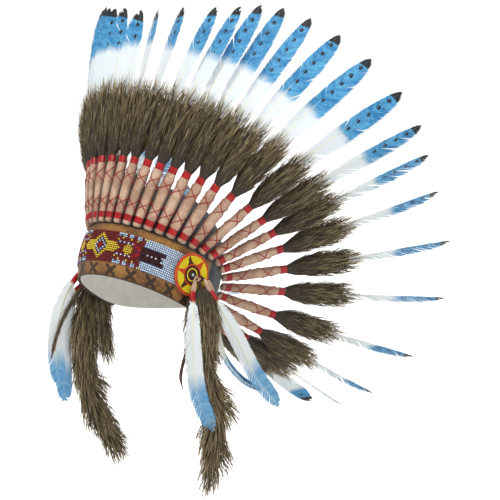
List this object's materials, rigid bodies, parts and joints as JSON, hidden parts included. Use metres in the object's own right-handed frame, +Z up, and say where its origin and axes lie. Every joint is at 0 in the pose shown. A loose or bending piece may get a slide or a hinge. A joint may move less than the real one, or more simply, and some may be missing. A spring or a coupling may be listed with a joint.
{
  "type": "feathered headdress",
  "caption": "Feathered headdress: a felt skullcap with a fan of blue-tipped feathers, a beaded brow band, beaded rosettes, and feather drops and fur tails at the temples.",
  "frame": {"origin": "middle of the head form at the height where the feather line crosses the temples", "axes": "+Z up, front towards -Y, the wearer's left towards +X; the cap's own axis leans back 25 degrees from +Z"},
  "size_m": [0.533, 0.4775, 0.6543],
  "materials": {
    "felt": "dark slate-grey felt",
    "suede": "brown and tan suede",
    "beads": "small opaque glass beads",
    "feather": "white feather with a dyed blue end",
    "fur": "long brown fur with pale tips",
    "thread": "red satin thread"
  },
  "bodies": {
    "root": {"cap": "felt", "brow_band": "suede", "bead_strip": "beads", "feather_left_01": "feather", "feather_right_01": "feather", "feather_left_02": "feather", "feather_right_02": "feather", "feather_left_03": "feather", "feather_right_03": "feather", "feather_left_04": "feather", "feather_right_04": "feather", "feather_left_05": "feather", "feather_right_05": "feather", "feather_left_06": "feather", "feather_right_06": "feather", "feather_left_07": "feather", "feather_right_07": "feather", "feather_left_08": "feather", "feather_right_08": "feather", "feather_left_09": "feather", "feather_right_09": "feather", "feather_left_10": "feather", "feather_right_10": "feather", "feather_left_11": "feather", "feather_right_11": "feather", "feather_left_12": "feather", "feather_right_12": "feather", "feather_left_13": "feather", "feather_right_13": "feather", "feather_left_14": "feather", "feather_right_14": "feather", "feather_left_15": "feather", "feather_right_15": "feather", "feather_left_16": "feather", "feather_right_16": "feather", "feather_left_17": "feather", "feather_right_17": "feather", "feather_left_18": "feather", "feather_right_18": "feather", "drop_front_left": "feather", "drop_front_right": "feather", "drop_back_left": "feather", "drop_back_right": "feather", "drop_small_left": "feather", "fur_tail_left": "fur", "fur_tail_right": "fur", "fur_lobe_left": "fur", "fur_lobe_right": "fur", "rosette_left": "beads", "rosette_right": "beads"}
  },
  "joints": []
}
